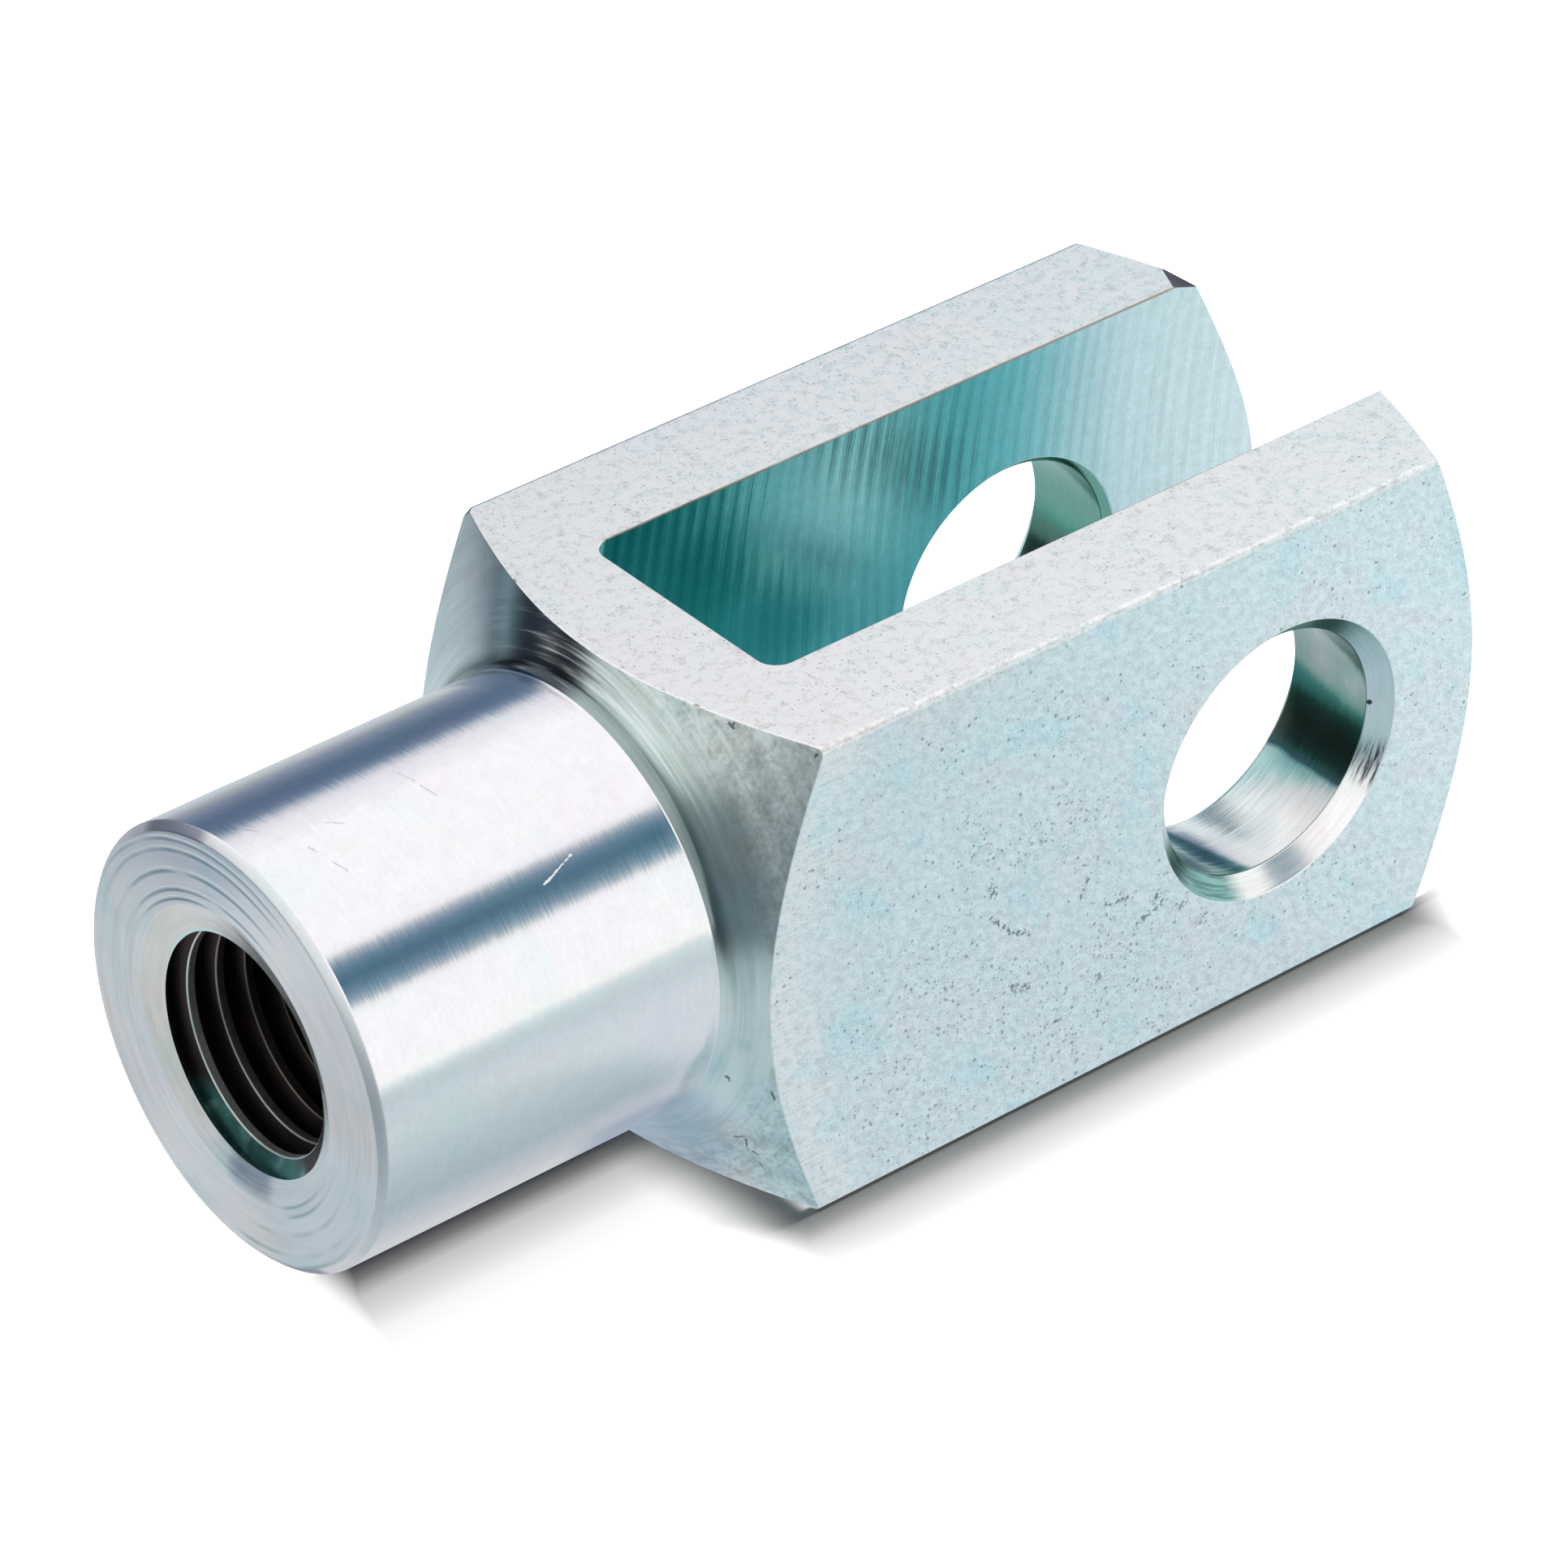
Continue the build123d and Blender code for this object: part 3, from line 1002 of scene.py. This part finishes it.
def make_tap():
    """The thread's groove as one long ridge wound about the rod's axis, right-handed."""
    root = THREAD_PITCH / 8
    crest_break = THREAD_MINOR_RADIUS + 0.1 * MM
    deep = THREAD_MINOR_RADIUS - 0.25 * MM
    shoulder = root / 2 + (THREAD_RADIUS - crest_break) * math.tan(THREAD_FLANK)
    # The groove's section stands on the +Y side, with its first turns out in the air
    middle = FIRST_CREST_X + THREAD_PITCH / 2 - 3 * THREAD_PITCH
    half = [
        (root / 2, THREAD_RADIUS), (shoulder, crest_break), (shoulder + crest_break - deep, deep)
    ]
    section = [(-x, r) for x, r in reversed(half)] + half
    bpy.ops.mesh.primitive_circle_add(vertices=len(section), radius=THREAD_PITCH)
    ridge = bpy.context.object
    ridge.name = "tap"
    for vertex, (x, r) in zip(ridge.data.vertices, section):
        vertex.co = (middle + x, r, 0)
    wind = ridge.modifiers.new("wind", "SCREW")
    wind.axis = "X"
    wind.angle = 2 * math.pi
    wind.screw_offset = THREAD_PITCH
    wind.iterations = THREAD_TURNS
    wind.steps = wind.render_steps = TAP_STEPS
    wind.use_smooth_shade = False
    work_on(ridge)
    bpy.ops.object.modifier_apply(modifier=wind.name)
    edit_mesh("SELECT")
    bpy.ops.mesh.remove_doubles(threshold=1e-7)
    bpy.ops.mesh.fill_holes(sides=0)
    bpy.ops.mesh.normals_make_consistent(inside=False)
    leave_mesh()
    finish_with(ridge, THREAD_GROOVE)
    finish_with(
        ridge, THREAD_CREST,
        lambda face: math.hypot(face.center.y, face.center.z) < crest_break,
    )
    return ridge


def break_edges(piece):
    """Takes the burr off every sharp edge but the thread's. The slot's rims wear through."""
    work_on(piece)
    edit_mesh("SELECT", by="EDGE")
    bpy.ops.mesh.remove_doubles(threshold=1e-6)
    bpy.ops.mesh.select_all(action="DESELECT")
    bpy.ops.mesh.edges_select_sharp(sharpness=SHARP_ANGLE)
    leave_mesh()
    points = [v.co for v in piece.data.vertices]
    thread_reach = THREAD_RADIUS + 0.3 * MM
    thread_end = SLOT_BOTTOM_X + 3 * MM
    for edge in piece.data.edges:
        a, b = (points[i] for i in edge.vertices)
        outermost = max(math.hypot(a.y, a.z), math.hypot(b.y, b.z))
        edge.select = edge.select and not (outermost < thread_reach and a.x < thread_end)
    edit_mesh()
    bpy.ops.mesh.bevel(offset=EDGE_BREAK, segments=BREAK_STEPS, clamp_overlap=False)
    leave_mesh()
    reach = EDGE_BREAK * 1.05
    finish_with(
        piece, WORN_EDGE,
        lambda face: 0 < abs(face.center.y) - SLOT_HALF < reach
        and abs(face.center.z) > BAR_HALF - reach and abs(face.normal.y) > 0.05,
    )


# Chips: name, the three corners of the broken facet, and how much deeper it goes, in
# millimetres
CHIPS = [
    ("far_tip_chip", [(17.0, 12.65, 20), (15.9, 10.15, 20), (18.2, 10.15, 19.2)], 0.0),
    ("far_shoulder_chip", [(-43.75, 19.3, 20), (-43.3, 19.82, 19.82), (-43.7, 20, 19.3)], 0.05),
]


def knock_off(piece, name, corners, depth):
    """Takes a chip off an edge or a corner, down to the plane through three points."""
    a, b, c = (Vector(point) * MM for point in corners)
    outward = (b - a).cross(c - a).normalized()
    middle = (a + b + c) / 3
    size = 2.2 * max((a - b).length, (b - c).length, (c - a).length)
    bpy.ops.mesh.primitive_cube_add(
        size=size, location=middle + outward * (size / 2 - depth * MM),
        rotation=outward.to_track_quat("Z", "Y").to_euler(),
    )
    knock = settled(name)
    finish_with(knock, BARE_CHIP)
    combine(piece, knock, "DIFFERENCE")


def smooth_faces(piece):
    """Shades the turned surfaces smooth, and keeps the chips' edges sharp."""
    work_on(piece)
    bpy.ops.object.shade_smooth_by_angle(angle=SMOOTH_ANGLE)
    chip = piece.data.materials.find(BARE_CHIP.name)
    chipped = [face for face in piece.data.polygons if face.material_index == chip]
    edges = {key for face in chipped for key in face.edge_keys}
    for edge in piece.data.edges:
        if edge.key in edges:
            edge.use_edge_sharp = True
    step = piece.modifiers.new("even_shading", "WEIGHTED_NORMAL")
    step.keep_sharp = True
    step.weight = 100
    bpy.ops.object.modifier_apply(modifier=step.name)


def make_fork_head():
    head = make_square_bar()
    combine(head, make_turned_envelope(), "INTERSECT")
    for make_cutter in (make_slot_cutter, make_pin_bore_cutter, make_rod_bore_cutter, make_tap):
        combine(head, make_cutter(), "DIFFERENCE")
    break_edges(head)
    for name, corners, depth in CHIPS:
        knock_off(head, name, corners, depth)
    smooth_faces(head)
    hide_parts("fork_head")
    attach(head, "root")


make_fork_head()


# ---------------- stage

SHADOW_FILL = 0.10     # how much of the white room reaches into the shadow on the table
TABLE_SIZE = 6.0


def stage_material(name):
    """An empty material for the stage, its wiring and its surface socket."""
    material = bpy.data.materials.new(name)
    material.use_nodes = True
    nodes = material.node_tree.nodes
    nodes.remove(nodes["Principled BSDF"])
    return material, Wiring(material.node_tree), nodes["Material Output"].inputs["Surface"]


def reach_of_room(w):
    """The room's strength: full, but weaker where it lights the table."""
    bounces = w.add("ShaderNodeLightPath").outputs["Diffuse Depth"]
    return w.ramp(bounces, 0.0, 1.0, 1.0, SHADOW_FILL, smooth=False)


def paper_white(w, x, y):
    """What the camera sees of the table: white paper with the head's shadow. A painted glow,
    added by place, brightens the paper away from the head, so that the shadow stays short and soft."""
    beside_neck = w.graded(y, [
        (at, (painted_glow, painted_glow, painted_glow)) for at, painted_glow in (
            (-15.0, 1.0), (-13.0, 0.93), (-11.0, 0.86), (-9.0, 0.66), (-7.0, 0.50),
            (-5.2, 0.13), (-3.9, 0.0), (-3.3, 0.0), (-2.9, 1.0),
        )
    ], MM)
    # painted glow: emission that lightens the paper by place and cuts the shadow short
    painted_glow = w.most(
        w.times(beside_neck, w.ramp_mm(x, -45, -52)),
        w.ramp_mm(x, -73, -77),                                          # before the end
        w.times(w.ramp_mm(x, 13.5, 19), w.ramp_mm(y, -18.7, -19.0)),     # past the tips
        w.times(w.ramp_mm(y, -19.3, -18.9), w.ramp_mm(x, -45, -43)),     # under the fork
        w.ramp_mm(y, -20.9, -22.9, 0.0, 0.15),                           # in front
    )
    paper = w.add("ShaderNodeBsdfDiffuse", {"Color": (0.9, 0.9, 0.9)})
    painted_glow_shader = w.add("ShaderNodeEmission", {"Color": (1, 1, 1), "Strength": painted_glow})
    shown = w.add("ShaderNodeAddShader")
    w.feed(shown.inputs[0], paper.outputs[0])
    w.feed(shown.inputs[1], painted_glow_shader.outputs[0])
    return shown.outputs[0]


def table_glow(w, x, y):
    """What the metal sees of the table: a pale blue-grey that darkens toward the room behind
    and to the left."""
    glow = w.graded(x, [
        (-0.240, (0.64, 0.70, 0.74)), (0.000, (0.66, 0.72, 0.76)),
        (0.045, (0.79, 0.86, 0.90)), (0.200, (0.82, 0.88, 0.92)),
    ])
    depth = w.graded(y, [
        (-0.600, (1.25, 1.20, 1.08)), (-0.350, (0.98, 0.98, 0.93)),
        (-0.240, (0.74, 0.83, 0.81)), (-0.154, (0.78, 0.87, 0.85)),
        (-0.090, (0.87, 0.93, 0.92)), (-0.050, (1.0, 1.0, 1.0)),
        (0.050, (1.0, 1.0, 1.0)), (0.117, (0.79, 0.78, 0.78)),
        (0.213, (0.43, 0.45, 0.48)), (0.350, (0.38, 0.42, 0.46)),
    ])
    # painted shadow: the glow darkens in a band beside the neck
    neck_shadow_band = w.graded(y, [
        (-0.062, (0.94, 0.98, 0.95)), (-0.039, (0.80, 0.88, 0.86)),
        (-0.0277, (0.68, 0.76, 0.77)), (-0.0206, (0.60, 0.69, 0.70)),
        (-0.0155, (0.78, 0.79, 0.79)), (-0.0100, (0.97, 0.92, 0.89)),
        (0.0, (0.94, 0.92, 0.92)),
    ])
    glow = w.mix(1.0, glow, depth, "MULTIPLY")
    glow = w.stained(glow, (w.ramp_mm(x, -40, -48), neck_shadow_band))
    # painted dark reflections in the table's glow, to the left: one before the head, two behind
    front_left = w.times(w.ramp_mm(x, -75, -125), w.ramp_mm(y, -15, -22))
    back_left = w.times(
        w.ramp_mm(x, -100, -112), w.ramp_mm(x, -152, -138),
        w.ramp_mm(y, 30, 44), w.ramp_mm(y, 100, 80),
    )
    far_left = w.times(w.ramp_mm(x, -100, -150), w.ramp_mm(y, 75, 105))
    for mask, colour in (
        (front_left, (0.15, 0.21, 0.235)),
        (back_left, (0.22, 0.29, 0.38)),
        (far_left, (0.09, 0.12, 0.16)),
    ):
        glow = w.mix(mask, glow, colour)
    # and a painted shadow darkens the table's glow in the corner between the neck and the shoulder
    painted_corner_shadow = w.times(
        w.ramp_mm(x, -57, -51), w.ramp_mm(x, -43, -47),
        w.ramp_mm(y, -16, -11), w.ramp_mm(y, 5, 0),
    )
    return w.stained(glow, (painted_corner_shadow, (0.60, 0.68, 0.79)))


def make_table():
    """The table top, which shows one thing to the camera and another to the metal."""
    bpy.ops.mesh.primitive_plane_add(size=TABLE_SIZE, location=(0, 0, FLOOR_Z))
    table = bpy.context.object
    table.name = "table_top"
    material, w, surface = stage_material("table_top")
    x, y, _ = w.split(w.add("ShaderNodeTexCoord").outputs["Object"])
    reflected = w.add(
        "ShaderNodeEmission", {"Color": table_glow(w, x, y), "Strength": reach_of_room(w)}
    )
    to_camera = w.add("ShaderNodeLightPath").outputs["Is Camera Ray"]
    mixed = w.add("ShaderNodeMixShader", {"Fac": to_camera})
    w.feed(mixed.inputs[1], reflected.outputs[0])
    w.feed(mixed.inputs[2], paper_white(w, x, y))
    w.feed(surface, mixed.outputs[0])
    table.data.materials.append(material)


def stand_card(name, corners, colours):
    """A card out of the camera's sight that shows only as a reflection in the metal.
    Its colours change with height: a list of (height, colour)."""
    bpy.ops.mesh.primitive_plane_add(size=1)
    card = bpy.context.object
    card.name = name
    for index, corner in zip((0, 1, 3, 2), corners):
        card.data.vertices[index].co = corner
    material, w, surface = stage_material(name)
    height = w.split(w.add("ShaderNodeTexCoord").outputs["Object"])["Z"]
    glow = w.add("ShaderNodeEmission", {"Color": w.graded(height, colours), "Strength": 1.0})
    w.feed(surface, glow.outputs[0])
    card.data.materials.append(material)
    card.visible_camera = card.visible_diffuse = False
    card.visible_shadow = card.visible_transmission = False


def upright(start, end, foot, top):
    """The corners of an upright card between two points on the floor plan."""
    return [(*start, foot), (*end, foot), (*end, top), (*start, top)]


make_table()
# The dark room behind the table, lighter toward the ceiling and toward the table
stand_card(
    "back_right_card",
    upright((-0.05, 0.35), (0.70, 0.35), -0.02, 0.47),
    [
        (-0.02, (0.27, 0.32, 0.40)), (0.05, (0.15, 0.20, 0.28)),
        (0.10, (0.095, 0.15, 0.24)), (0.16, (0.10, 0.155, 0.245)),
        (0.20, (0.15, 0.21, 0.30)), (0.235, (0.50, 0.56, 0.64)),
        (0.27, (0.80, 0.80, 0.84)), (0.38, (0.91, 0.91, 0.93)),
        (0.47, (0.95, 0.95, 0.96)),
    ],
)
stand_card(
    "back_left_card",
    upright((-0.35, 0.35), (-0.05, 0.35), -0.02, 0.11),
    [
        (-0.02, (0.24, 0.34, 0.38)), (0.0, (0.16, 0.22, 0.25)),
        (0.025, (0.03, 0.04, 0.06)), (0.11, (0.03, 0.04, 0.06)),
    ],
)
# The room to the left, in three cards
stand_card(
    "left_near_card",
    upright((-0.25, -0.35), (-0.25, 0.11), -0.02, 0.052),
    [
        (-0.02, (0.15, 0.21, 0.23)), (0.0, (0.17, 0.23, 0.24)),
        (0.036, (0.17, 0.23, 0.22)), (0.052, (0.52, 0.61, 0.58)),
    ],
)
stand_card(
    "left_far_card",
    [(-0.25, 0.11, -0.02), (-0.25, 0.25, -0.02), (-0.25, 0.25, 0.095), (-0.25, 0.11, 0.052)],
    [(-0.02, (0.05, 0.07, 0.09)), (0.0, (0.01, 0.012, 0.02)), (0.09, (0.01, 0.01, 0.02))],
)
stand_card(
    "left_upper_card",
    upright((-0.251, -0.35), (-0.251, 0.35), 0.05, 0.30),
    [
        (0.05, (0.70, 0.78, 0.76)), (0.10, (0.78, 0.85, 0.85)),
        (0.20, (0.90, 0.92, 0.93)), (0.30, (1, 1, 1)),
    ],
)
# The dark gap between the overhead light and the front light
stand_card(
    "front_gap",
    [(0.10, -0.337, 0.629), (0.48, -0.337, 0.629), (0.48, -0.573, 0.432), (0.10, -0.573, 0.432)],
    [
        (0.432, (0.42, 0.50, 0.54)), (0.472, (0.13, 0.25, 0.33)),
        (0.53, (0.04, 0.13, 0.20)), (0.585, (0.10, 0.21, 0.29)),
        (0.629, (0.45, 0.50, 0.55)),
    ],
)


# ---------------- light and camera

LAMP_STRENGTH = 3.3
LAMP_SPREAD = math.radians(15)
LAMP_DIRECTION = (0, 3.4, 40)

CAMERA_LENS = 183.8
CAMERA_FILM = 36
CAMERA_REACH = (0.05, 20)
CAMERA_PLACE = (-0.336223, -0.364304, 0.331217)
CAMERA_TURN = (55.2011, -0.2922, -39.8111)       # degrees


def set_world():
    """White all round for the metal, and weaker for the table, so that shadows show."""
    world = bpy.data.worlds.new("studio")
    world.use_nodes = True
    w = Wiring(world.node_tree)
    background = world.node_tree.nodes["Background"].inputs
    w.feed(background["Color"], (1, 1, 1))
    w.feed(background["Strength"], reach_of_room(w))
    bpy.context.scene.world = world


def stand_up(name, data):
    """An object for the lamp's or the camera's data, put in the scene."""
    stand = bpy.data.objects.new(name, data)
    bpy.context.scene.collection.objects.link(stand)
    return stand


def hang_lamp():
    """The overhead lamp, a little behind the head, for the shadow on the table."""
    lamp = bpy.data.lights.new("overhead_lamp", "SUN")
    lamp.energy = LAMP_STRENGTH
    lamp.angle = LAMP_SPREAD
    stand = stand_up("overhead_lamp", lamp)
    stand.rotation_euler = Vector(LAMP_DIRECTION).to_track_quat("Z", "Y").to_euler()
    stand.visible_glossy = False


def set_camera():
    camera = bpy.data.cameras.new("camera")
    camera.lens = CAMERA_LENS
    camera.sensor_width = CAMERA_FILM
    camera.clip_start, camera.clip_end = CAMERA_REACH
    stand = stand_up("camera", camera)
    stand.location = CAMERA_PLACE
    stand.rotation_euler = [math.radians(angle) for angle in CAMERA_TURN]
    bpy.context.scene.camera = stand


set_world()
hang_lamp()
set_camera()
bpy.context.scene.view_settings.view_transform = "Standard"
